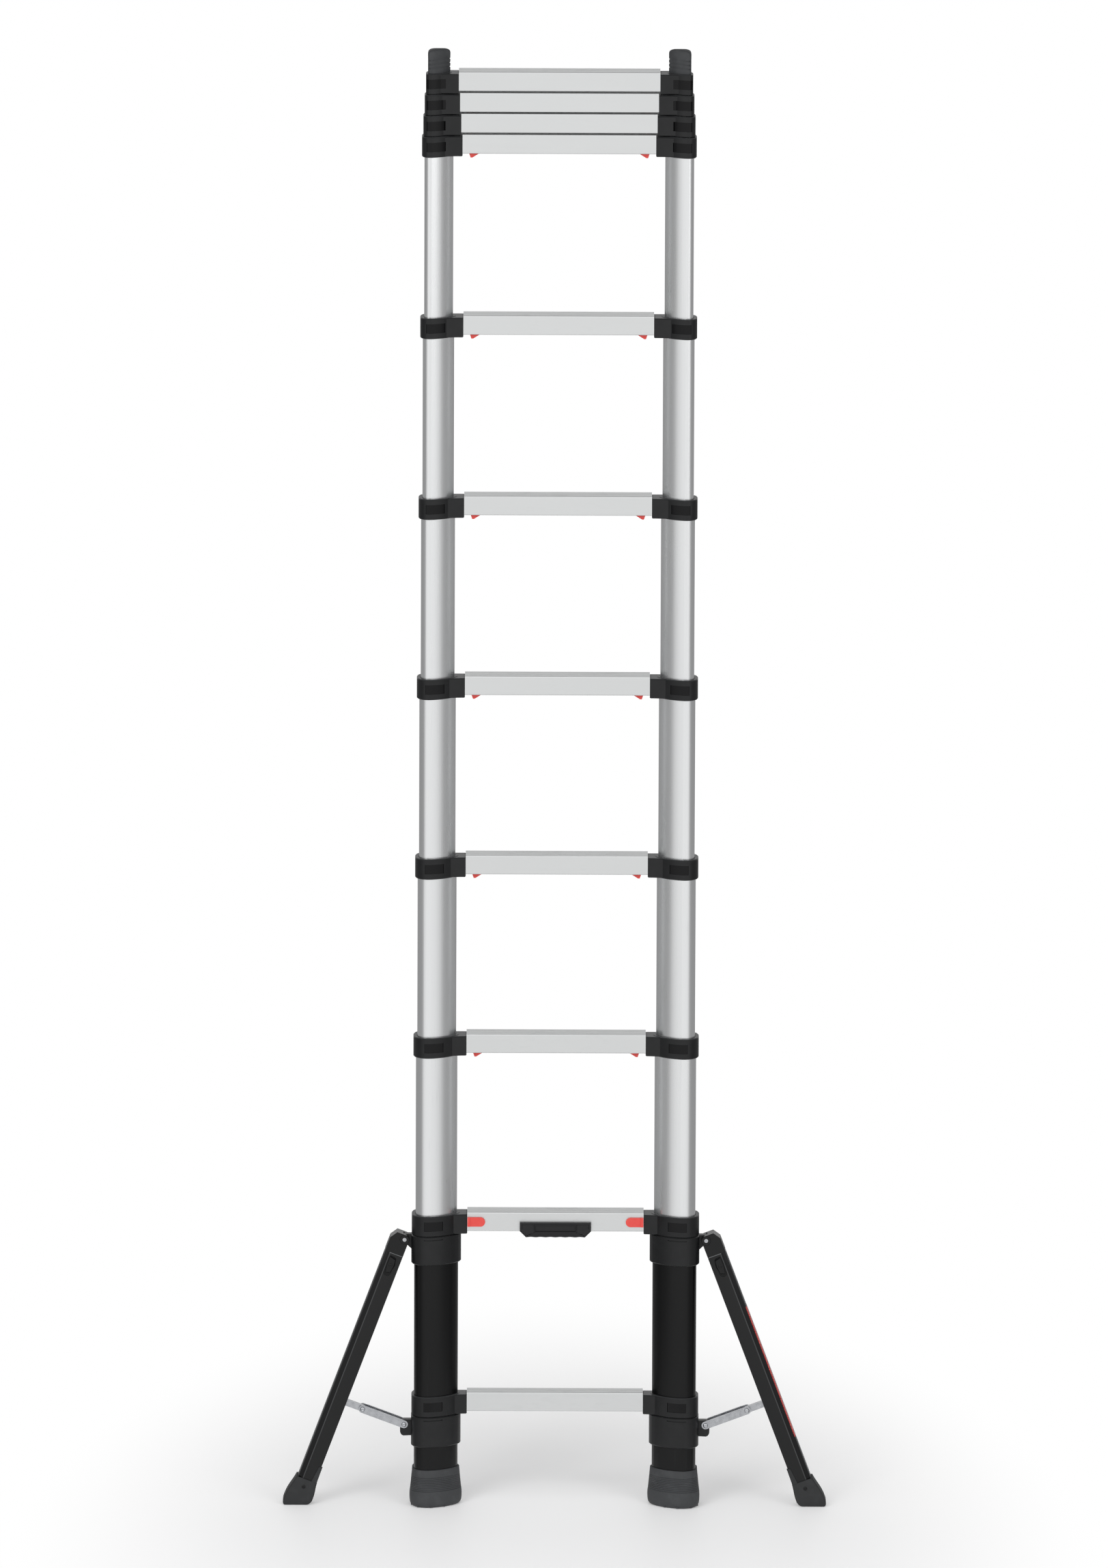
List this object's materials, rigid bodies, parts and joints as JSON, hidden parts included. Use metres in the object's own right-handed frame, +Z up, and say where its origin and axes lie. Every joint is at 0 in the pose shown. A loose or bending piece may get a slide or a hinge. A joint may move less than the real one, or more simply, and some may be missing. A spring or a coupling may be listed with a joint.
{
  "type": "telescopic ladder",
  "caption": "Telescopic ladder with sliding locked sections, ribbed rungs and folding stabiliser legs on the base.",
  "frame": {"origin": "on the floor, midway between the two main feet", "axes": "+Z up along the stiles, +X across the ladder to the right, -Y the front that a climber faces"},
  "size_m": [0.899, 0.0761, 2.4352],
  "materials": {
    "black_coated_tube": "satin",
    "tube_aluminium": "satin",
    "rung_aluminium": "satin",
    "black_moulding": "satin",
    "badge_plastic": "gloss",
    "black_casting": "satin",
    "black_rubber": "matte",
    "grey_rubber": "matte",
    "red_plastic": "satin",
    "zinc_steel": "zinc plated"
  },
  "bodies": {
    "base": {"base_tubes": "black_coated_tube", "base_feet": "grey_rubber", "bottom_rung": "rung_aluminium", "bottom_rung_collars": "black_moulding", "release_rung": "rung_aluminium", "release_rung_collars": "black_moulding", "badge": "badge_plastic", "upper_leg_clamps": "black_moulding", "lower_leg_clamps": "black_moulding", "hinge_pins": "zinc_steel"},
    "release_button_left": {"release_button_left": "red_plastic", "lock_pin_left": "zinc_steel"},
    "release_button_right": {"release_button_right": "red_plastic", "lock_pin_right": "zinc_steel"},
    "section_1": {"section_1_tubes": "tube_aluminium", "rung_3": "rung_aluminium", "rung_3_collars": "black_moulding"},
    "rung_3_cams": {"rung_3_cams": "red_plastic"},
    "section_2": {"section_2_tubes": "tube_aluminium", "rung_4": "rung_aluminium", "rung_4_collars": "black_moulding"},
    "rung_4_cams": {"rung_4_cams": "red_plastic"},
    "section_3": {"section_3_tubes": "tube_aluminium", "rung_5": "rung_aluminium", "rung_5_collars": "black_moulding"},
    "rung_5_cams": {"rung_5_cams": "red_plastic"},
    "section_4": {"section_4_tubes": "tube_aluminium", "rung_6": "rung_aluminium", "rung_6_collars": "black_moulding"},
    "rung_6_cams": {"rung_6_cams": "red_plastic"},
    "section_5": {"section_5_tubes": "tube_aluminium", "rung_7": "rung_aluminium", "rung_7_collars": "black_moulding"},
    "rung_7_cams": {"rung_7_cams": "red_plastic"},
    "section_6": {"section_6_tubes": "tube_aluminium", "rung_8": "rung_aluminium", "rung_8_collars": "black_moulding"},
    "rung_8_cams": {"rung_8_cams": "red_plastic"},
    "section_7": {"section_7_tubes": "tube_aluminium", "rung_9": "rung_aluminium", "rung_9_collars": "black_moulding"},
    "rung_9_cams": {"rung_9_cams": "red_plastic"},
    "section_8": {"section_8_tubes": "tube_aluminium", "rung_10": "rung_aluminium", "rung_10_collars": "black_moulding"},
    "rung_10_cams": {"rung_10_cams": "red_plastic"},
    "section_9": {"section_9_tubes": "tube_aluminium", "rung_11": "rung_aluminium", "rung_11_collars": "black_moulding", "top_caps": "grey_rubber"},
    "leg_left": {"leg_hinge_head_left": "black_casting", "leg_tube_left": "black_coated_tube", "leg_foot_left": "black_rubber"},
    "brace_outer_link_left": {"brace_outer_link_left": "zinc_steel"},
    "brace_inner_link_left": {"brace_inner_link_left": "zinc_steel"},
    "leg_right": {"leg_hinge_head_right": "black_casting", "leg_tube_right": "black_coated_tube", "leg_foot_right": "black_rubber"},
    "brace_outer_link_right": {"brace_outer_link_right": "zinc_steel"},
    "brace_inner_link_right": {"brace_inner_link_right": "zinc_steel"}
  },
  "joints": [
    {"name": "section_1_slide", "type": "slide", "parent": "base", "child": "section_1", "axis": [0, 0, 1], "range_m": [-0.2656, 0]},
    {"name": "section_2_slide", "type": "slide", "parent": "section_1", "child": "section_2", "axis": [0, 0, 1], "range_m": [-0.2656, 0]},
    {"name": "section_3_slide", "type": "slide", "parent": "section_2", "child": "section_3", "axis": [0, 0, 1], "range_m": [-0.2656, 0]},
    {"name": "section_4_slide", "type": "slide", "parent": "section_3", "child": "section_4", "axis": [0, 0, 1], "range_m": [-0.2656, 0]},
    {"name": "section_5_slide", "type": "slide", "parent": "section_4", "child": "section_5", "axis": [0, 0, 1], "range_m": [-0.2656, 0]},
    {"name": "section_6_slide", "type": "slide", "parent": "section_5", "child": "section_6", "axis": [0, 0, 1], "range_m": [-0.2656, 0]},
    {"name": "section_7_slide", "type": "slide", "parent": "section_6", "child": "section_7", "axis": [0, 0, 1], "range_m": [0, 0.2656]},
    {"name": "section_8_slide", "type": "slide", "parent": "section_7", "child": "section_8", "axis": [0, 0, 1], "range_m": [0, 0.2656]},
    {"name": "section_9_slide", "type": "slide", "parent": "section_8", "child": "section_9", "axis": [0, 0, 1], "range_m": [0, 0.2656]},
    {"name": "rung_3_cam_slide", "type": "slide", "parent": "section_1", "child": "rung_3_cams", "axis": [0, 0, 1], "range_m": [0, 0.009]},
    {"name": "rung_4_cam_slide", "type": "slide", "parent": "section_2", "child": "rung_4_cams", "axis": [0, 0, 1], "range_m": [0, 0.009]},
    {"name": "rung_5_cam_slide", "type": "slide", "parent": "section_3", "child": "rung_5_cams", "axis": [0, 0, 1], "range_m": [0, 0.009]},
    {"name": "rung_6_cam_slide", "type": "slide", "parent": "section_4", "child": "rung_6_cams", "axis": [0, 0, 1], "range_m": [0, 0.009]},
    {"name": "rung_7_cam_slide", "type": "slide", "parent": "section_5", "child": "rung_7_cams", "axis": [0, 0, 1], "range_m": [0, 0.009]},
    {"name": "rung_8_cam_slide", "type": "slide", "parent": "section_6", "child": "rung_8_cams", "axis": [0, 0, 1], "range_m": [0, 0.009]},
    {"name": "rung_9_cam_slide", "type": "slide", "parent": "section_7", "child": "rung_9_cams", "axis": [0, 0, 1], "range_m": [-0.009, 0]},
    {"name": "rung_10_cam_slide", "type": "slide", "parent": "section_8", "child": "rung_10_cams", "axis": [0, 0, 1], "range_m": [-0.009, 0]},
    {"name": "release_button_left_slide", "type": "slide", "parent": "base", "child": "release_button_left", "axis": [1, 0, 0], "range_m": [0, 0.008], "stiffness_N_per_m": 400},
    {"name": "release_button_right_slide", "type": "slide", "parent": "base", "child": "release_button_right", "axis": [-1, 0, 0], "range_m": [0, 0.008], "stiffness_N_per_m": 400},
    {"name": "leg_left_fold", "type": "hinge", "parent": "base", "child": "leg_left", "pos_m": [-0.248, 0, 0.449], "axis": [0, 1, 0], "range_deg": [-19.5, 0]},
    {"name": "brace_outer_left_turn", "type": "hinge", "parent": "base", "child": "brace_outer_link_left", "pos_m": [-0.2485, 0, 0.1356], "axis": [0, 1, 0], "range_deg": [0, 60]},
    {"name": "brace_inner_left_turn", "type": "hinge", "parent": "leg_left", "child": "brace_inner_link_left", "pos_m": [-0.36538, 0, 0.1793], "axis": [0, 1, 0], "range_deg": [-82.4, 0]},
    {"name": "leg_right_fold", "type": "hinge", "parent": "base", "child": "leg_right", "pos_m": [0.248, 0, 0.449], "axis": [0, 1, 0], "range_deg": [0, 19.5]},
    {"name": "brace_outer_right_turn", "type": "hinge", "parent": "base", "child": "brace_outer_link_right", "pos_m": [0.2485, 0, 0.1356], "axis": [0, 1, 0], "range_deg": [-60, 0]},
    {"name": "brace_inner_right_turn", "type": "hinge", "parent": "leg_right", "child": "brace_inner_link_right", "pos_m": [0.36538, 0, 0.1793], "axis": [0, 1, 0], "range_deg": [0, 82.4]}
  ],
  "couplings": [
    {"joint": "rung_3_cam_slide", "follows": "section_1_slide", "ratio": -0.033885},
    {"joint": "rung_4_cam_slide", "follows": "section_2_slide", "ratio": -0.033885},
    {"joint": "rung_5_cam_slide", "follows": "section_3_slide", "ratio": -0.033885},
    {"joint": "rung_6_cam_slide", "follows": "section_4_slide", "ratio": -0.033885},
    {"joint": "rung_7_cam_slide", "follows": "section_5_slide", "ratio": -0.033885},
    {"joint": "rung_8_cam_slide", "follows": "section_6_slide", "ratio": -0.033885},
    {"joint": "rung_9_cam_slide", "follows": "section_7_slide", "ratio": -0.033885},
    {"joint": "rung_10_cam_slide", "follows": "section_8_slide", "ratio": -0.033885},
    {"joint": "brace_outer_left_turn", "follows": "leg_left_fold", "ratio": -3.068},
    {"joint": "brace_inner_left_turn", "follows": "leg_left_fold", "ratio": 4.219},
    {"joint": "brace_outer_right_turn", "follows": "leg_right_fold", "ratio": -3.068},
    {"joint": "brace_inner_right_turn", "follows": "leg_right_fold", "ratio": 4.219}
  ]
}
